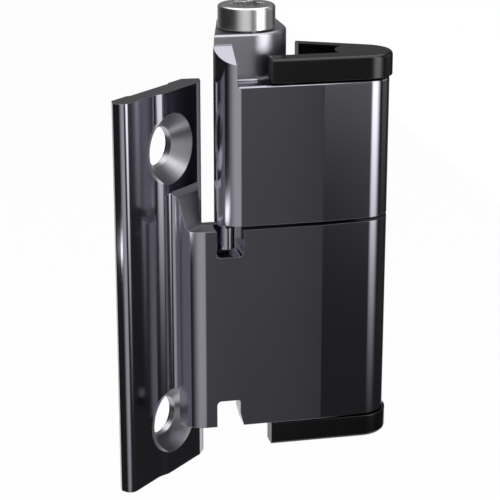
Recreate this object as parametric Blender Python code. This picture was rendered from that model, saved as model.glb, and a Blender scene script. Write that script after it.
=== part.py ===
# Steel hinge for a cabinet door. The frame leaf is one milled profile: a countersunk plate at
# 45 degrees, a web, a front wall and a barrel. The shorter door leaf turns above it on the same
# pin and carries a block with a clamp screw. A plastic cap closes each end.
#
# Z is the hinge axis and the leaves part at z = 0. The front walls face -Y, and both leaves
# reach from the barrel along -X.

import math

import bmesh
import bpy
from mathutils import Matrix, Vector

mm = 0.001

# Section that both leaves share
barrel_radius = 4.8 * mm
front_offset = 5.4 * mm
front_taper = math.radians(4.2)
frame_wall = 4.2 * mm
door_wall = 4.6 * mm
back_wall = 3.0 * mm
back_slant = math.radians(26.5)
back_reach = 9.5 * mm

# Heights
door_top = 24.95 * mm
frame_bottom = -36.85 * mm
leaf_gap = 0.65 * mm
thrust_gap = 0.3 * mm
collar_step = 0.2 * mm

# Pin
pin_radius = 2.5 * mm
pin_clearance = 0.05 * mm
pin_inset = 3.0 * mm
pin_chamfer = 0.4 * mm

# Door leaf
curl_x = -22.3 * mm
curl_radius = 4.2 * mm
curl_flat = 0.6 * mm
block_top = 33.0 * mm
block_relief = 0.4 * mm
block_overlap = 0.1 * mm
block_left = -26.3 * mm
block_back_left = -22.85 * mm
block_turn_x = -19.7 * mm
block_round = 7.5 * mm
block_back_y = 14.8 * mm
stub_width = 3.3 * mm
stub_height = 3.65 * mm
stub_slope = math.radians(31.9)
lug_x = -24.65 * mm
lug_y = -2.4 * mm
lug_radius = 1.5 * mm
lug_drop = 4.2 * mm
lug_root = 1.0 * mm

# Clamp screw, M6 with a low head
screw_x = -19.45 * mm
screw_y = 4.95 * mm
screw_radius = 3.0 * mm
screw_length = 24.0 * mm
screw_chamfer = 0.8 * mm
screw_clearance = 0.3 * mm
screw_hole_spare = 2.5 * mm
head_radius = 5.0 * mm
head_height = 3.9 * mm
head_round = 0.5 * mm
head_seat = 0.3 * mm
socket_radius = 2.75 * mm
socket_wave = 0.45 * mm
socket_depth = 2.3 * mm
socket_lobes = 6

# Frame leaf: its plate, from the axis of the screw holes
plate_x = -33.9 * mm
plate_y = -1.7 * mm
plate_angle = math.radians(45)
plate_middle = -11.1 * mm
plate_height = 70.0 * mm
plate_thickness = 4.2 * mm
plate_left = 12.3 * mm
plate_left_chamfer = 1.3 * mm
plate_left_round = 1.4 * mm
plate_flat = 7.6 * mm
plate_tip = 11.1 * mm
tip_depth = 1.9 * mm
shoulder_back = 1.3 * mm
shoulder_depth = 0.7 * mm
tip_undercut = 2.1 * mm
thin_step = 0.6 * mm
thin_from = 4.0 * mm
thin_run = 1.7 * mm
thin_foot_round = 4.0 * mm
thin_edge_round = 1.5 * mm
pad_height = 0.35 * mm
left_pad = 4.3 * mm
right_pad = 4.0 * mm
hole_pitch = 50.0 * mm
hole_radius = 3.5 * mm
sink_radius = 6.1 * mm
driver_depth = 1.2 * mm

# Frame leaf: its web, and the ledge and notches that clear the door leaf
web_offset = 0.2 * mm
web_root_round = 1.2 * mm
web_turn_round = 4.3 * mm
web_inner_x = -29.1 * mm
web_inner_round = 1.3 * mm
milled_allowance = 0.02 * mm
ledge_top = 6.2 * mm
ledge_reach = 1.4 * mm
ledge_fall = 1.0 * mm
ledge_round = 0.8 * mm
ramp_reach = 1.55 * mm
ramp_round = 1.4 * mm
notch_left = -26.9 * mm
notch_depth = 4.85 * mm
notch_round = 0.8 * mm
top_notch_width = 4.8 * mm
top_notch_end = -0.1 * mm
backing_left = -29.6 * mm
backing_right = -20.5 * mm
backing_back = 1.4 * mm
backing_bottom = -9.0 * mm
backing_drop = 0.3 * mm
backing_overlap = 0.5 * mm
backing_round = 0.8 * mm
foot_notch_width = 4.2 * mm
foot_notch_flare = 0.6 * mm
foot_flare_height = 2.4 * mm

# Caps
cap_overhang = 0.5 * mm
cap_height = 4.1 * mm
cap_seat = 0.3 * mm
cap_reach = 17.0 * mm
cap_front_arm = 3.6 * mm
cap_back_arm = 2.6 * mm
cap_round = 0.7 * mm
peg_clearance = 0.4 * mm
peg_length = 2.1 * mm
peg_root = 1.5 * mm

arc_step = math.radians(7.5)
overcut = 5.0 * mm
stock = 60.0 * mm


def make_material(name, colour, roughness, metallic):
    material = bpy.data.materials.new(name)
    material.use_nodes = True
    shader = material.node_tree.nodes["Principled BSDF"]
    shader.inputs["Base Color"].default_value = (*colour, 1.0)
    shader.inputs["Roughness"].default_value = roughness
    shader.inputs["Metallic"].default_value = metallic
    return material


def arc(centre, radius, start, end):
    """Points on an arc with both its ends; angles are counted from +X."""
    steps = max(2, math.ceil(abs(end - start) / arc_step))
    turns = [start + (end - start) * i / steps for i in range(steps + 1)]
    return [Vector((centre[0] + radius * math.cos(t), centre[1] + radius * math.sin(t))) for t in turns]


def rounded(corners):
    """An outline from (corner, radius) pairs, where a radius of 0 leaves the corner sharp."""
    outline = []
    for i, (corner, radius) in enumerate(corners):
        here = Vector(corner)
        if radius == 0:
            outline.append(here)
            continue
        back = (Vector(corners[i - 1][0]) - here).normalized()
        ahead = (Vector(corners[(i + 1) % len(corners)][0]) - here).normalized()
        half = back.angle(ahead) / 2
        centre = here + (back + ahead).normalized() * radius / math.sin(half)
        first = here + back * radius / math.tan(half) - centre
        last = here + ahead * radius / math.tan(half) - centre
        start = math.atan2(first.y, first.x)
        outline += arc(centre, radius, start, start - first.angle_signed(last))
    return outline


def add_solid(name, form):
    bmesh.ops.recalc_face_normals(form, faces=form.faces)
    mesh = bpy.data.meshes.new(name)
    form.to_mesh(mesh)
    form.free()
    solid = bpy.data.objects.new(name, mesh)
    bpy.context.scene.collection.objects.link(solid)
    return solid


def sweep_face(form, points, shift):
    base = form.faces.new([form.verts.new(p) for p in points])
    swept = bmesh.ops.extrude_face_region(form, geom=[base])
    moved = [v for v in swept["geom"] if isinstance(v, bmesh.types.BMVert)]
    bmesh.ops.translate(form, verts=moved, vec=shift)


def raise_outline(name, outline, low, high):
    """A prism over a plan outline."""
    form = bmesh.new()
    sweep_face(form, [(p[0], p[1], low) for p in outline], (0, 0, high - low))
    return add_solid(name, form)


def push_profile(name, profile, frame, near, far):
    """A prism whose profile lies in a frame's XZ plane, pushed along the frame's Y axis."""
    form = bmesh.new()
    sweep_face(form, [(p[0], near, p[1]) for p in profile], (0, far - near, 0))
    bmesh.ops.transform(form, matrix=frame, verts=form.verts)
    return add_solid(name, form)


def turn_profile(name, profile, frame=Matrix.Identity(4), steps=48):
    """A solid of revolution from (radius, height) pairs about a frame's Z axis."""
    form = bmesh.new()
    points = [form.verts.new((radius, 0, height)) for radius, height in profile]
    lines = [form.edges.new(pair) for pair in zip(points, points[1:])]
    bmesh.ops.spin(form, geom=points + lines, axis=(0, 0, 1), cent=(0, 0, 0), angle=math.tau, steps=steps)
    bmesh.ops.remove_doubles(form, verts=form.verts, dist=0.001 * mm)
    bmesh.ops.transform(form, matrix=frame, verts=form.verts)
    return add_solid(name, form)


def combine(target, tool, operation):
    tool.parent = target
    tool.hide_render = True
    tool.display_type = "WIRE"
    step = target.modifiers.new(tool.name, "BOOLEAN")
    step.operation = operation
    step.object = tool
    step.solver = "EXACT"


def dress(solid, material):
    solid.data.materials.append(material)
    solid.data.shade_smooth()
    solid.data.set_sharp_from_angle(angle=math.radians(30))


def slanted(offset, x):
    """The point at x on the line that lies an offset outside the axis, along the back wall."""
    start = Vector((math.sin(back_slant), math.cos(back_slant))) * offset
    along = Vector((-math.cos(back_slant), math.sin(back_slant)))
    return start + along * (start.x - x) / math.cos(back_slant)


def hooked_section(radius, front, wall, back, taper):
    """Nose, back arm and hollow of a leaf or a cap, up to the inside of its front arm."""
    top = math.pi / 2 - back_slant
    tip = slanted(radius, -back_reach)
    inner_tip = slanted(radius - back, -back_reach)
    hollow_start = top + math.acos((radius - back) / barrel_radius)
    hollow_end = math.pi + math.asin((front - wall) / barrel_radius)
    section = arc((0, 0), radius, taper - math.pi / 2, top)
    section += [tip, inner_tip]
    section += arc((0, 0), barrel_radius, hollow_start, hollow_end)
    return section


def leaf_section(wall):
    """The shared section, from where the front face turns towards the barrel."""
    rise = front_offset - barrel_radius * math.cos(front_taper)
    crease = barrel_radius * math.sin(front_taper) - rise / math.tan(front_taper)
    section = [Vector((crease, -front_offset))]
    section += hooked_section(barrel_radius, front_offset, wall, back_wall, front_taper)
    return section


def on_plate(along, depth):
    """A plan point by its way along the plate's face and its depth behind that face."""
    x = plate_x + along * math.cos(plate_angle) - depth * math.sin(plate_angle)
    y = plate_y + along * math.sin(plate_angle) + depth * math.cos(plate_angle)
    return Vector((x, y))


def plate_frame(height):
    """X out of the plate's face, Y along it and Z up, on the axis of the screw holes."""
    return Matrix.Translation((plate_x, plate_y, height)) @ Matrix.Rotation(plate_angle - math.pi / 2, 4, "Z")


def frame_outline():
    turn_depth = (-front_offset - plate_y + web_offset * math.sin(plate_angle)) / math.cos(plate_angle)
    recess = plate_thickness - pad_height
    right_pad_end = plate_tip - tip_undercut
    left_pad_end = plate_left_chamfer - plate_left
    corners = [(p, 0) for p in leaf_section(frame_wall)]
    corners += [
        ((web_inner_x, frame_wall - front_offset), web_inner_round),
        (on_plate(plate_flat, 0), 0),
        (on_plate(plate_tip - shoulder_back, shoulder_depth), 0.8 * mm),
        (on_plate(plate_tip, tip_depth), 0.4 * mm),
        (on_plate(right_pad_end, plate_thickness), 0.3 * mm),
        (on_plate(right_pad_end - right_pad, plate_thickness), 0),
        (on_plate(right_pad_end - right_pad - pad_height, recess), 0),
        (on_plate(left_pad_end + left_pad + pad_height, recess), 0),
        (on_plate(left_pad_end + left_pad, plate_thickness), 0),
        (on_plate(left_pad_end, plate_thickness), 0.5 * mm),
        (on_plate(-plate_left, plate_thickness - plate_left_chamfer), 0.5 * mm),
        (on_plate(-plate_left, thin_step), plate_left_round),
        (on_plate(-thin_from, thin_step), thin_foot_round),
        (on_plate(thin_run - thin_from, 0), thin_edge_round),
        (on_plate(-web_offset, 0), web_root_round),
        (on_plate(-web_offset, turn_depth), web_turn_round),
    ]
    return rounded(corners)


def make_frame_leaf(material):
    top = plate_middle + plate_height / 2
    bottom = plate_middle - plate_height / 2
    floor = -leaf_gap / 2
    leaf = raise_outline("frame_leaf", frame_outline(), bottom, top)

    ledge = rounded([
        ((milled_allowance, top + overcut), 0),
        ((milled_allowance, ledge_top), 0),
        ((ledge_reach, ledge_top - ledge_fall), ledge_round),
        ((ledge_reach + ramp_reach, floor), ramp_round),
        ((stock, floor), 0),
        ((stock, top + overcut), 0),
    ])
    combine(leaf, push_profile("ledge_cutter", ledge, plate_frame(0), -stock, stock), "DIFFERENCE")
    foot = [(milled_allowance, bottom - overcut), (stock, bottom - overcut)]
    foot += [(stock, frame_bottom), (milled_allowance, frame_bottom)]
    combine(leaf, push_profile("foot_cutter", foot, plate_frame(0), -stock, stock), "DIFFERENCE")

    collar_radius = barrel_radius - collar_step
    collar_top = leaf_gap / 2 - thrust_gap
    collar = [(0, -peg_length), (collar_radius, -peg_length), (collar_radius, collar_top), (0, collar_top)]
    combine(leaf, turn_profile("thrust_collar", collar), "UNION")
    bore = pin_radius + pin_clearance
    way = [(0, frame_bottom - overcut), (bore, frame_bottom - overcut), (bore, overcut), (0, overcut)]
    combine(leaf, turn_profile("frame_bore", way), "DIFFERENCE")

    inside = frame_wall - front_offset - backing_overlap
    backing = rounded([
        ((backing_left, inside), 0),
        ((backing_right, inside), 0),
        ((backing_right, backing_back), backing_round),
        ((backing_left, backing_back), 0),
    ])
    combine(leaf, raise_outline("notch_backing", backing, backing_bottom, floor - backing_drop), "UNION")
    right = notch_left + top_notch_width
    notch = rounded([
        ((notch_left, floor + overcut), 0),
        ((notch_left, floor - notch_depth), notch_round),
        ((right, floor - notch_depth), notch_round),
        ((right, floor + overcut), 0),
    ])
    blind = (-front_offset - overcut, top_notch_end)
    combine(leaf, push_profile("top_notch", notch, Matrix.Identity(4), *blind), "DIFFERENCE")
    through = (-front_offset - overcut, front_offset - frame_wall)
    right = notch_left + foot_notch_width
    notch = rounded([
        ((notch_left, frame_bottom - overcut), 0),
        ((notch_left, frame_bottom + notch_depth), notch_round),
        ((right, frame_bottom + notch_depth), notch_round / 2),
        ((right, frame_bottom + foot_flare_height), 0),
        ((right + foot_notch_flare, frame_bottom), 0),
        ((right + foot_notch_flare, frame_bottom - overcut), 0),
    ])
    combine(leaf, push_profile("foot_notch", notch, Matrix.Identity(4), *through), "DIFFERENCE")

    behind = -plate_thickness - overcut
    sink = [(0, behind), (hole_radius, behind), (hole_radius, hole_radius - sink_radius), (sink_radius, 0)]
    sink += [(sink_radius, driver_depth), (0, driver_depth)]
    outward = Matrix.Rotation(math.pi / 2, 4, "Y")
    for place, height in (("upper", plate_middle + hole_pitch / 2), ("lower", plate_middle - hole_pitch / 2)):
        hole = turn_profile(f"{place}_screw_hole", sink, plate_frame(height) @ outward)
        combine(leaf, hole, "DIFFERENCE")

    dress(leaf, material)
    return leaf


def door_outline():
    curl = (curl_x, curl_radius - front_offset)
    outline = leaf_section(door_wall)
    outline += [Vector((curl_x - curl_radius + curl_flat, door_wall - front_offset))]
    outline += arc(curl, curl_radius, math.pi, math.pi * 1.5)
    return outline


def block_outline():
    front = door_wall - front_offset - block_overlap
    outline = [Vector((block_left, front))]
    outline += arc((block_turn_x, front + block_round), block_round, -math.pi / 2, 0)
    outline += [Vector((block_turn_x + block_round, block_back_y)), Vector((block_back_left, block_back_y))]
    return outline


def make_door_leaf(material):
    floor = leaf_gap / 2
    leaf = raise_outline("door_leaf", door_outline(), floor, block_top - block_relief)

    stub_right = curl_x - curl_radius + stub_width
    above = [(stub_right, door_top), (stock, door_top), (stock, block_top + overcut)]
    above += [(stub_right, block_top + overcut)]
    clear = push_profile("door_top_cutter", above, Matrix.Identity(4), -stock, stock)
    combine(leaf, clear, "DIFFERENCE")
    rise = math.tan(stub_slope)
    stub_front = door_top + stub_height
    slope = [(-front_offset - overcut, stub_front - overcut * rise)]
    slope += [(overcut, stub_front + (front_offset + overcut) * rise)]
    slope += [(overcut, stub_front + stock), (-front_offset - overcut, stub_front + stock)]
    across = Matrix.Rotation(math.pi / 2, 4, "Z")
    combine(leaf, push_profile("stub_cutter", slope, across, -stock, stock), "DIFFERENCE")

    block = raise_outline("block", block_outline(), floor + block_relief, block_top)
    combine(leaf, block, "UNION")
    lug = [(0, -lug_drop), (lug_radius, -lug_drop), (lug_radius, floor + lug_root), (0, floor + lug_root)]
    place = Matrix.Translation((lug_x, lug_y, 0))
    combine(leaf, turn_profile("lug", lug, place), "UNION")

    bore = pin_radius + pin_clearance
    way = [(0, -overcut), (bore, -overcut), (bore, door_top + overcut), (0, door_top + overcut)]
    combine(leaf, turn_profile("door_bore", way), "DIFFERENCE")
    hole = screw_radius + screw_clearance
    depth = block_top + head_seat - screw_length - screw_hole_spare
    way = [(0, depth - hole / 2), (hole, depth), (hole, block_top + overcut), (0, block_top + overcut)]
    place = Matrix.Translation((screw_x, screw_y, 0))
    combine(leaf, turn_profile("clamp_screw_hole", way, place), "DIFFERENCE")
    dress(leaf, material)
    return leaf


def make_pin(material):
    low = frame_bottom + pin_inset
    high = door_top - pin_inset
    neck = pin_radius - pin_chamfer
    profile = [(0, low), (neck, low), (pin_radius, low + pin_chamfer)]
    profile += [(pin_radius, high - pin_chamfer), (neck, high), (0, high)]
    pin = turn_profile("hinge_pin", profile)
    dress(pin, material)
    return pin


def make_screw(material):
    neck = screw_radius - screw_chamfer
    rim = head_radius - head_round
    shoulder = head_height - head_round
    profile = [(0, -screw_length), (neck, -screw_length), (screw_radius, screw_chamfer - screw_length)]
    profile += [(screw_radius, 0), (head_radius, 0)]
    profile += [(p.x, p.y) for p in arc((rim, shoulder), head_round, 0, math.pi / 2)]
    profile += [(0, head_height)]
    screw = turn_profile("clamp_screw", profile, steps=64)
    screw.location = (screw_x, screw_y, block_top + head_seat)

    points = []
    for i in range(socket_lobes * 10):
        turn = math.tau * i / (socket_lobes * 10)
        reach = socket_radius + socket_wave * math.cos(socket_lobes * turn)
        points.append((reach * math.cos(turn), reach * math.sin(turn)))
    socket = raise_outline("socket", points, head_height - socket_depth, head_height + overcut)
    combine(screw, socket, "DIFFERENCE")
    dress(screw, material)
    return screw


def make_cap(name, seat, way, material):
    """A cap with its peg; way is 1 where it stands on the leaf and -1 where it hangs below."""
    radius = barrel_radius + cap_overhang
    outline = [Vector((-cap_reach, -radius))]
    outline += hooked_section(radius, radius, cap_front_arm, cap_back_arm, 0)
    outline += [Vector((-cap_reach, cap_front_arm - radius))]
    form = bmesh.new()
    sweep_face(form, [(p.x, p.y, cap_seat) for p in outline], (0, 0, cap_height))
    top = cap_seat + cap_height
    rim = [e for e in form.edges if min(v.co.z for v in e.verts) > top - cap_height / 2]
    rim = [e for e in rim if min(v.co.to_2d().length for v in e.verts) > barrel_radius + cap_overhang / 2]
    arm_ends = (-cap_reach, -back_reach)
    rim = [e for e in rim if not any(all(abs(v.co.x - x) < cap_seat for v in e.verts) for x in arm_ends)]
    bmesh.ops.bevel(form, geom=rim, offset=cap_round, segments=3, profile=0.5, affect="EDGES")
    mirror = Matrix.Scale(way, 4, (0, 0, 1))
    bmesh.ops.transform(form, matrix=mirror, verts=form.verts)
    cap = add_solid(name, form)
    cap.location = (0, 0, seat)

    peg_radius = pin_radius + pin_clearance - peg_clearance
    reach = cap_seat + peg_root
    profile = [(0, -peg_length), (peg_radius, -peg_length), (peg_radius, reach), (0, reach)]
    combine(cap, turn_profile(f"{name}_peg", profile, mirror, steps=32), "UNION")
    dress(cap, material)
    return cap


def main():
    for solid in list(bpy.data.objects):
        bpy.data.objects.remove(solid)
    make_frame_leaf(make_material("frame leaf steel", (0.25, 0.25, 0.26), 0.16, 1.0))
    make_pin(make_material("pin steel", (0.55, 0.55, 0.56), 0.25, 1.0))
    make_cap("bottom_cap", frame_bottom, -1, make_material("bottom cap plastic", (0.012, 0.012, 0.012), 0.4, 0.0))

    axis = bpy.data.objects.new("door_axis", None)
    bpy.context.scene.collection.objects.link(axis)
    door = [make_door_leaf(make_material("door leaf steel", (0.25, 0.25, 0.26), 0.16, 1.0))]
    door.append(make_screw(make_material("screw steel", (0.7, 0.7, 0.71), 0.15, 1.0)))
    door.append(make_cap("top_cap", door_top, 1, make_material("top cap plastic", (0.012, 0.012, 0.012), 0.4, 0.0)))
    for solid in door:
        solid.parent = axis


main()
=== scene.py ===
# Steel cabinet hinge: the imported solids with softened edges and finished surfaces, in a small studio.
import math

import bpy
from mathutils import Matrix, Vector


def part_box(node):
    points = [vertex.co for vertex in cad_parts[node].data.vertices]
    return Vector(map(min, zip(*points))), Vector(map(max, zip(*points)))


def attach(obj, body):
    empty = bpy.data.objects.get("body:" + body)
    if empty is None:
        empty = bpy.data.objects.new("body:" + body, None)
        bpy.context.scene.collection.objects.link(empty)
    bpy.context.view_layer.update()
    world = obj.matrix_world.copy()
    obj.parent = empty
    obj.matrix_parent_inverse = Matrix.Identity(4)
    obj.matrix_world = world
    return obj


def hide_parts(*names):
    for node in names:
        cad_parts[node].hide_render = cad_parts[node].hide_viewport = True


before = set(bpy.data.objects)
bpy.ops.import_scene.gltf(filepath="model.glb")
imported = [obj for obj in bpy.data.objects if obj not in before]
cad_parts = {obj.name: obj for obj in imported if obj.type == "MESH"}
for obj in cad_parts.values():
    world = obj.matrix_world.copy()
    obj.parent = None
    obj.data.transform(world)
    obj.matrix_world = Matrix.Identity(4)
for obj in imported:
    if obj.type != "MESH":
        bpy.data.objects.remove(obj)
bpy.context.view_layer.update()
mm = 0.001


class Wire:
    # a socket that adds its own Math nodes
    def __init__(self, finish, socket):
        self.finish = finish
        self.socket = socket

    def step(self, operation, first, second=0.0):
        return self.finish.node("ShaderNodeMath", {"operation": operation}, {0: first, 1: second})

    def __add__(self, other): return self.step("ADD", self, other)
    def __radd__(self, other): return self.step("ADD", other, self)
    def __sub__(self, other): return self.step("SUBTRACT", self, other)
    def __rsub__(self, other): return self.step("SUBTRACT", other, self)
    def __mul__(self, other): return self.step("MULTIPLY", self, other)
    def __rmul__(self, other): return self.step("MULTIPLY", other, self)
    def __truediv__(self, other): return self.step("DIVIDE", self, other)
    def __rtruediv__(self, other): return self.step("DIVIDE", other, self)
    def above(self, other): return self.step("GREATER_THAN", self, other)
    def power(self, other): return self.step("POWER", self, other)
    def absolute(self): return self.step("ABSOLUTE", self)
    def clamped(self): return self.finish.node("ShaderNodeClamp", {}, {"Value": self})

    def beside(self, name):
        # another output of the same node
        return Wire(self.finish, self.socket.node.outputs[name])


class Finish:
    # one material or world tree, and the single method that adds nodes to it
    def __init__(self, tree):
        self.tree = tree

    def node(self, kind, settings, inputs, output=0):
        made = self.tree.nodes.new(kind)
        for name, value in settings.items():
            setattr(made, name, value)
        for name, value in inputs.items():
            if isinstance(value, Wire):
                self.tree.links.new(value.socket, made.inputs[name])
            else:
                made.inputs[name].default_value = value
        return Wire(self, made.outputs[output])

    def fade(self, value, start, end):
        # 0 at start, 1 at end, smooth between them
        return self.node("ShaderNodeMapRange", {"interpolation_type": "SMOOTHSTEP"},
                         {"Value": value, "From Min": start, "From Max": end})

    def mixColour(self, share, first, second):
        return self.node("ShaderNodeMix", {"data_type": "RGBA"}, {0: share, 6: first, 7: second}, 2)

    def mixShader(self, share, first, second):
        return self.node("ShaderNodeMixShader", {}, {0: share, 1: first, 2: second})

    def noise(self, place, scale, detail):
        return self.node("ShaderNodeTexNoise", {}, {"Vector": place, "Scale": scale, "Detail": detail})

    def close(self, kind, shader):
        output = self.tree.nodes.new(kind)
        self.tree.links.new(shader.socket, output.inputs["Surface"])


def newMaterial(name, fixed):
    material = bpy.data.materials.new(name)
    material.use_nodes = True
    shader = material.node_tree.nodes["Principled BSDF"]
    for socket, value in fixed.items():
        shader.inputs[socket].default_value = value
    return material, Finish(material.node_tree), shader


def dress(finish, shader, look, colour, roughness, height):
    # edges softened in the shading, with a fine bump over them
    edge = finish.node("ShaderNodeBevel", {"samples": look["edgeSamples"]}, {"Radius": look["edgeRadius"]})
    bump = finish.node("ShaderNodeBump", {}, {"Strength": 1.0, "Distance": look["bumpHeight"],
                                              "Height": height, "Normal": edge})
    for socket, wire in (("Base Color", colour), ("Roughness", roughness), ("Normal", bump)):
        finish.tree.links.new(wire.socket, shader.inputs[socket])


polishedSteel = {
    "light": (0.360, 0.355, 0.405, 1.0), "dark": (0.320, 0.315, 0.362, 1.0),
    "roughness": 0.115, "roughnessSpread": 0.03, "grainRoughness": 0.03,
    "cloudScale": 55.0, "cloudDetail": 3.0, "grainScale": 5200.0, "grainDetail": 2.0,
    "edgeRadius": 0.12 * mm, "edgeSamples": 6, "bumpHeight": 0.0012 * mm,
    # painted shade: the faces that meet in the narrow gap between the leaves get a dark colour standing in
    # for the shade there, and a higher roughness
    "paintedGapShade": (0.05, 0.05, 0.055, 1.0), "gapShadeRoughness": 0.6,
    "gapShadeLeft": -25.0 * mm, "gapShadeReach": 0.34 * mm,   # the faces that meet between the leaves
}


def makePolishedSteel(name, look):
    # dullArea is the leaf's own function for where it is machined and not polished
    material, finish, shader = newMaterial(name, {"Metallic": 1.0})
    place = finish.node("ShaderNodeTexCoord", {}, {}, "Object")
    x = finish.node("ShaderNodeSeparateXYZ", {}, {0: place}, "X")
    y, z = x.beside("Y"), x.beside("Z")
    cloud = finish.noise(place, look["cloudScale"], look["cloudDetail"])
    grain = finish.noise(place, look["grainScale"], look["grainDetail"])
    colour = finish.mixColour(cloud, look["dark"], look["light"])
    roughness = look["roughness"] + (cloud - 0.5) * look["roughnessSpread"]
    roughness = roughness + (grain - 0.5) * look["grainRoughness"]
    dull = look["dullArea"](x, y, z)
    roughness = roughness + dull * (look["dullRoughness"] - look["roughness"])
    colour = finish.mixColour(dull, colour, look["dullColour"])
    # painted shade in the gap between the leaves: a dark colour where the shade falls, plus a higher
    # roughness on those faces
    reach = look["gapShadeReach"]
    paintedGapShade = x.above(look["gapShadeLeft"]) * z.above(-reach) * (reach - z).above(0.0)
    roughness = roughness + paintedGapShade * (look["gapShadeRoughness"] - look["roughness"])
    colour = finish.mixColour(paintedGapShade, colour, look["paintedGapShade"])
    dress(finish, shader, look, colour, roughness, grain)
    return material


turnedSteel = {
    "light": (0.80, 0.80, 0.80, 1.0), "dark": (0.68, 0.68, 0.69, 1.0),
    "roughness": 0.24, "roughnessSpread": 0.06, "ringRoughness": 0.04,
    "cloudScale": 160.0, "cloudDetail": 2.0, "ringScale": 420.0, "ringWobble": 0.6,
    "edgeRadius": 0.2 * mm, "edgeSamples": 6, "bumpHeight": 0.002 * mm,
}


def makeTurnedSteel(name, look):
    # rings about the piece's own axis
    material, finish, shader = newMaterial(name, {"Metallic": 1.0})
    place = finish.node("ShaderNodeTexCoord", {}, {}, "Object")
    centred = finish.node("ShaderNodeMapping", {}, {"Vector": place, "Location": look["centre"]})
    rings = finish.node("ShaderNodeTexWave", {"wave_type": "RINGS", "rings_direction": "Z"},
                        {"Vector": centred, "Scale": look["ringScale"], "Distortion": look["ringWobble"],
                         "Detail": 1.0})
    cloud = finish.noise(place, look["cloudScale"], look["cloudDetail"])
    colour = finish.mixColour(cloud, look["dark"], look["light"])
    roughness = look["roughness"] + rings * look["ringRoughness"] + (cloud - 0.5) * look["roughnessSpread"]
    dress(finish, shader, look, colour, roughness, rings)
    return material


satinPlastic = {
    "colour": (0.0008, 0.0008, 0.0009, 1.0), "worn": (0.003, 0.003, 0.003, 1.0),
    "roughness": 0.22, "roughnessSpread": 0.06, "bend": 1.5,
    "cloudScale": 90.0, "cloudDetail": 2.0, "grainScale": 3800.0, "grainDetail": 3.0,
    "edgeRadius": 0.25 * mm, "edgeSamples": 6, "bumpHeight": 0.008 * mm,
}


def makeSatinPlastic(name, look):
    material, finish, shader = newMaterial(name, {"Metallic": 0.0, "IOR": look["bend"]})
    place = finish.node("ShaderNodeTexCoord", {}, {}, "Object")
    grain = finish.noise(place, look["grainScale"], look["grainDetail"])
    cloud = finish.noise(place, look["cloudScale"], look["cloudDetail"])
    colour = finish.mixColour(cloud, look["colour"], look["worn"])
    roughness = look["roughness"] + (cloud - 0.5) * look["roughnessSpread"]
    dress(finish, shader, look, colour, roughness, grain)
    return material


# angles in degrees
copying = {
    "mergeDistance": 0.001 * mm, "flatAngle": 0.5, "smoothAngle": 32, "roundSegments": 3, "flatWeight": 100,
}


def pickEdges(piece, tests):
    # selects each edge whose two ends pass the same test, and stays in edit mode
    bpy.ops.object.mode_set(mode="EDIT")
    bpy.ops.mesh.select_mode(type="EDGE")
    bpy.ops.mesh.select_all(action="DESELECT")
    bpy.ops.object.mode_set(mode="OBJECT")
    mesh = piece.data
    for edge in mesh.edges:
        ends = [mesh.vertices[i].co for i in edge.vertices]
        edge.select = any(all(test(end) for end in ends) for test in tests)
    bpy.ops.object.mode_set(mode="EDIT")


def smoothCopy(node, name, material, body, rounded=(), width=0.0, creases=()):
    # a merged copy of a solid, with chosen edges rounded and its flats kept flat
    piece = bpy.data.objects.new(name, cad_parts[node].data.copy())
    bpy.context.scene.collection.objects.link(piece)
    bpy.ops.object.select_all(action="DESELECT")
    piece.select_set(True)
    bpy.context.view_layer.objects.active = piece
    piece.data.materials.clear()
    piece.data.materials.append(material)
    bpy.ops.object.mode_set(mode="EDIT")
    bpy.ops.mesh.select_all(action="SELECT")
    bpy.ops.mesh.customdata_custom_splitnormals_clear()
    bpy.ops.mesh.remove_doubles(threshold=copying["mergeDistance"])
    bpy.ops.mesh.dissolve_limited(angle_limit=math.radians(copying["flatAngle"]))
    if rounded:
        pickEdges(piece, rounded)
        bpy.ops.mesh.bevel(offset=width, segments=copying["roundSegments"], affect="EDGES",
                           clamp_overlap=False)
    bpy.ops.object.mode_set(mode="OBJECT")
    bpy.ops.object.shade_smooth_by_angle(angle=math.radians(copying["smoothAngle"]))
    if creases:
        pickEdges(piece, creases)
        bpy.ops.mesh.mark_sharp()
        bpy.ops.object.mode_set(mode="OBJECT")
    weighted = piece.modifiers.new("Flat faces first", "WEIGHTED_NORMAL")
    weighted.keep_sharp = True
    weighted.weight = copying["flatWeight"]
    bpy.ops.object.modifier_apply(modifier=weighted.name)
    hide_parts(node)
    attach(piece, body)
    return piece


# the front faces turn slightly towards the barrel along this line
frontCrease = {"x": -8.0 * mm, "reach": 0.15 * mm, "back": -5.3 * mm}


def onCrease(p):
    return abs(p.x - frontCrease["x"]) < frontCrease["reach"] and p.y < frontCrease["back"]


frameLeafLook = {
    "plateX": -33.9 * mm, "plateY": -1.7 * mm, "holesMiddle": -11.1 * mm, "halfPitch": 25 * mm,
    "sinkRadius": 6.2 * mm, "sinkTop": 0.03 * mm, "sinkFoot": -3.6 * mm,
    "ledgeTop": 6.25 * mm, "ledgeFoot": -0.34 * mm, "ledgeRight": -25.0 * mm,
    "webFace": -0.15 * mm, "plateFace": 0.015 * mm,
    "dullRoughness": 0.34, "dullColour": (0.50, 0.495, 0.53, 1.0),
}


def countersinksAndLedge(x, y, z):
    # the countersinks are turned and the ledge is milled, so both are duller than the polished faces
    look = frameLeafLook
    plateX, plateY = look["plateX"], look["plateY"]
    along = (x - plateX + y - plateY) * math.sqrt(0.5)
    out = (x - plateX - y + plateY) * math.sqrt(0.5)
    rise = (z - look["holesMiddle"]).absolute() - look["halfPitch"]
    sinks = (look["sinkRadius"] ** 2 - along * along - rise * rise).above(0.0)
    sinks = sinks * (look["sinkTop"] - out).above(0.0) * out.above(look["sinkFoot"])
    ledge = along.above(look["webFace"]) * out.above(look["plateFace"])
    ledge = ledge * (look["ledgeTop"] - z).above(0.0) * z.above(look["ledgeFoot"])
    ledge = ledge * (look["ledgeRight"] - x).above(0.0)
    return (sinks + ledge).clamped()


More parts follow.
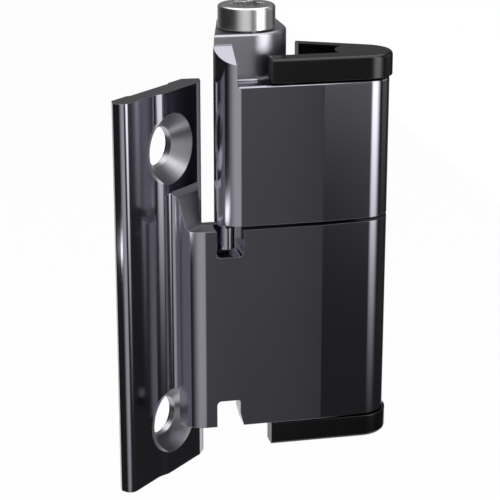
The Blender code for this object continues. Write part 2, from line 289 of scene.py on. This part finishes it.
frameSteel = dict(polishedSteel, dullArea=countersinksAndLedge,
                  dullRoughness=frameLeafLook["dullRoughness"], dullColour=frameLeafLook["dullColour"])
smoothCopy("frame_leaf", "frameLeaf", makePolishedSteel("framePolish", frameSteel), "frame",
           creases=[onCrease])
print("frame leaf done")


doorLeafLook = {
    "wallTop": 24.95 * mm, "wallBack": -0.5 * mm, "wallLeft": -23.3 * mm,
    "stubEdge": -23.2 * mm, "stubBack": -5.3 * mm, "stubFoot": 24.9 * mm,
    "blockTop": 32.95 * mm, "screwX": -19.45 * mm, "screwY": 4.95 * mm, "screwClear": 4 * mm,
    "near": 0.02 * mm, "roundWidth": 0.55 * mm,
    "machinedFrom": -0.95 * mm, "machinedRight": -9.6 * mm,
    "dullRoughness": 0.30, "dullColour": (0.44, 0.435, 0.48, 1.0),
}


def blockAndInside(x, y, z):
    # behind the front wall the door leaf is only machined
    return y.above(doorLeafLook["machinedFrom"]) * (doorLeafLook["machinedRight"] - x).above(0.0)


def onWallTop(p):
    look = doorLeafLook
    return abs(p.z - look["wallTop"]) < look["near"] and p.y < look["wallBack"] and p.x > look["wallLeft"]


def onStubEdge(p):
    look = doorLeafLook
    return abs(p.x - look["stubEdge"]) < look["near"] and p.y < look["stubBack"] and p.z > look["stubFoot"]


def onBlockTop(p):
    look = doorLeafLook
    fromScrew = math.hypot(p.x - look["screwX"], p.y - look["screwY"])
    return p.z > look["blockTop"] and fromScrew > look["screwClear"]


doorSteel = dict(polishedSteel, dullArea=blockAndInside,
                 dullRoughness=doorLeafLook["dullRoughness"], dullColour=doorLeafLook["dullColour"])
smoothCopy("door_leaf", "doorLeaf", makePolishedSteel("doorPolish", doorSteel), "door",
           rounded=[onWallTop, onStubEdge, onBlockTop], width=doorLeafLook["roundWidth"],
           creases=[onCrease])
print("door leaf done")


low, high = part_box("clamp_screw")
screwLook = dict(turnedSteel, centre=(-(low.x + high.x) / 2, -(low.y + high.y) / 2, 0.0))
smoothCopy("clamp_screw", "clampScrew", makeTurnedSteel("turnedSteel", screwLook), "door")
pinLook = dict(turnedSteel, centre=(0.0, 0.0, 0.0))
smoothCopy("hinge_pin", "hingePin", makeTurnedSteel("groundSteel", pinLook), "frame")
print("screw and pin done")


capPlastic = makeSatinPlastic("satinPlastic", satinPlastic)
smoothCopy("top_cap", "topCap", capPlastic, "door")
smoothCopy("bottom_cap", "bottomCap", capPlastic, "frame")
print("caps done")


# levels are shares of white; the backdrop fades in between the two directions, 1 being straight behind
studio = {
    "floorHeight": -0.36, "floorWidth": 0.9, "floorFront": -0.25, "floorBack": 6.0,
    "paper": 0.9, "floorWhite": 0.97, "floorInSteel": 0.3,
    "wings": 0.03, "backdrop": 0.15, "fill": 0.3, "white": 1.0, "backdropFrom": 0.6, "backdropFull": 0.9,
}


def grey(level):
    return (level, level, level, 1.0)


def newGlow(name):
    # an empty shader tree for a surface that gives light
    material = bpy.data.materials.new(name)
    material.use_nodes = True
    material.node_tree.nodes.clear()
    return material, Finish(material.node_tree)


def makeFloor(look):
    # a pale sheet that keeps the shadow; the lens sees it nearly white and the steel dimmer
    bpy.ops.object.select_all(action="DESELECT")
    depth = look["floorBack"] - look["floorFront"]
    bpy.ops.mesh.primitive_plane_add(size=1)
    floor = bpy.context.active_object
    floor.name = "studioFloor"
    floor.data.transform(Matrix.Diagonal((look["floorWidth"], depth, 1, 1)))
    floor.data.transform(Matrix.Translation((0.0, look["floorFront"] + depth / 2, look["floorHeight"])))
    material, finish = newGlow("palePaper")
    paper = finish.node("ShaderNodeBsdfDiffuse", {}, {"Color": grey(look["paper"])})
    bright = finish.node("ShaderNodeEmission", {}, {"Color": grey(1.0), "Strength": 1.0})
    ray = finish.node("ShaderNodeLightPath", {}, {}, "Is Camera Ray")
    share = ray * look["floorWhite"] + ray.beside("Is Glossy Ray") * look["floorInSteel"]
    finish.close("ShaderNodeOutputMaterial", finish.mixShader(share, paper, bright))
    floor.data.materials.append(material)


def makeWorld(look):
    # a pale backdrop behind the hinge and dark wings round it, with a plain fill for diffuse light
    world = bpy.data.worlds.new("studioWorld")
    bpy.context.scene.world = world
    world.use_nodes = True
    world.node_tree.nodes.clear()
    finish = Finish(world.node_tree)
    way = finish.node("ShaderNodeTexCoord", {}, {}, "Generated")
    y = finish.node("ShaderNodeSeparateXYZ", {}, {0: way}, "Y")
    ray = finish.node("ShaderNodeLightPath", {}, {}, "Is Camera Ray")
    wings, backdrop, fill, white = (
        finish.node("ShaderNodeBackground", {}, {"Color": grey(look[part]), "Strength": 1.0})
        for part in ("wings", "backdrop", "fill", "white"))
    seen = finish.mixShader(finish.fade(y, look["backdropFrom"], look["backdropFull"]), wings, backdrop)
    seen = finish.mixShader(ray.beside("Is Diffuse Ray"), seen, fill)
    finish.close("ShaderNodeOutputWorld", finish.mixShader(ray, seen, white))


# bearings are counted from the front (-Y) towards +X
# feather: the shares of the half width that fade out on the left and the right, and of the half height
# low: what is left of the light at the foot of its climb from foot to head, and curve is that climb's power
softboxes = [
    {"name": "rightSoftbox", "bearing": 49.5, "distance": 0.55, "height": 0.10, "size": (0.48, 0.76),
     "radiance": 3.1, "feather": (0.5, 1.0, 0.02),
     "foot": -0.27, "head": -0.11, "low": 0.03, "curve": 1.7},
    {"name": "leftSoftbox", "bearing": -27, "distance": 0.70, "height": 0.05, "size": (0.98, 1.00),
     "radiance": 0.78, "feather": (1.2, 0.22, 0.1),
     "foot": -0.45, "head": -0.2, "low": 0.75, "curve": 1.0},
    {"name": "frontPanel", "bearing": 12.5, "distance": 0.64, "height": 0.0, "size": (0.134, 0.8),
     "radiance": 0.165, "feather": (0.02, 1.25, 0.02),
     "foot": -0.30, "head": -0.08, "low": 0.62, "curve": 1.0},
    {"name": "cornerPanel", "bearing": 24.0, "distance": 0.64, "height": 0.0, "size": (0.124, 0.8),
     "radiance": 0.25, "feather": (0.02, 0.02, 0.02),
     "foot": -0.30, "head": -0.10, "low": 0.0, "curve": 3.2},
    {"name": "sidePanel", "bearing": 99, "distance": 0.90, "height": 0.05, "size": (0.60, 0.90),
     "radiance": 0.50, "feather": (0.2, 0.2, 0.1),
     "foot": -0.30, "head": 0.10, "low": 0.04, "curve": 1.1},
    {"name": "lowCard", "bearing": -66, "distance": 0.12, "height": -0.0290, "size": (0.080, 0.016),
     "radiance": 5.0, "feather": (0.9, 0.9, 0.95),
     "foot": -0.0295, "head": -0.0285, "low": 0.0, "curve": 1.0},
    {"name": "topSoftbox", "bearing": 0, "distance": 0.0, "height": 0.80, "size": (2.0, 2.0),
     "radiance": 1.9, "feather": (0.5, 0.5, 0.5),
     "foot": -2.0, "head": -1.0, "low": 1.0, "curve": 1.0},
]


def addSoftbox(look):
    # a sheet with feathered edges that faces the axis, or lies flat when it hangs above it
    turn = math.radians(look["bearing"])
    width, tall = look["size"]
    bpy.ops.object.select_all(action="DESELECT")
    bpy.ops.mesh.primitive_plane_add(size=1)
    sheet = bpy.context.active_object
    sheet.name = look["name"]
    sheet.data.transform(Matrix.Diagonal((width, tall, 1, 1)))
    sheet.location = (look["distance"] * math.sin(turn), -look["distance"] * math.cos(turn), look["height"])
    if look["distance"] > 0:
        sheet.rotation_euler = (math.pi / 2, 0, turn)
    material, finish = newGlow(look["name"])
    place = finish.node("ShaderNodeTexCoord", {}, {}, "Object")
    x = finish.node("ShaderNodeSeparateXYZ", {}, {0: place}, "X")
    y = x.beside("Y")
    left, right, ends = look["feather"]
    cover = finish.fade(x, -width / 2, width / 2 * (left - 1))
    cover = cover * finish.fade(x, width / 2, width / 2 * (1 - right))
    cover = cover * finish.fade(y.absolute(), tall / 2, tall / 2 * (1 - ends))
    climb = ((y + (look["height"] - look["foot"])) / (look["head"] - look["foot"])).clamped()
    climb = climb.power(look["curve"]) * (1 - look["low"]) + look["low"]
    light = finish.node("ShaderNodeEmission", {}, {"Color": grey(1.0), "Strength": look["radiance"]})
    clear = finish.node("ShaderNodeBsdfTransparent", {}, {"Color": grey(1.0)})
    finish.close("ShaderNodeOutputMaterial", finish.mixShader(cover * climb, clear, light))
    sheet.data.materials.append(material)
    sheet.visible_camera = False
    sheet.visible_shadow = False


makeFloor(studio)
makeWorld(studio)
for look in softboxes:
    addSoftbox(look)
print("studio done")


cameraLook = {"place": (-0.07867, -0.27959, 0.08902), "turn": -11.879, "tilt": -17.02, "lens": 122.65,
              "sensor": 36, "shift": -0.08}
camera = bpy.data.objects.new("camera", bpy.data.cameras.new("camera"))
bpy.context.scene.collection.objects.link(camera)
camera.location = cameraLook["place"]
camera.rotation_euler = (Matrix.Rotation(math.radians(cameraLook["turn"]), 4, "Z")
                         @ Matrix.Rotation(math.radians(90 + cameraLook["tilt"]), 4, "X")).to_euler()
camera.data.lens = cameraLook["lens"]
camera.data.sensor_width = cameraLook["sensor"]
camera.data.shift_y = cameraLook["shift"]
bpy.context.scene.camera = camera
bpy.context.scene.view_settings.view_transform = "Standard"
print("camera done")
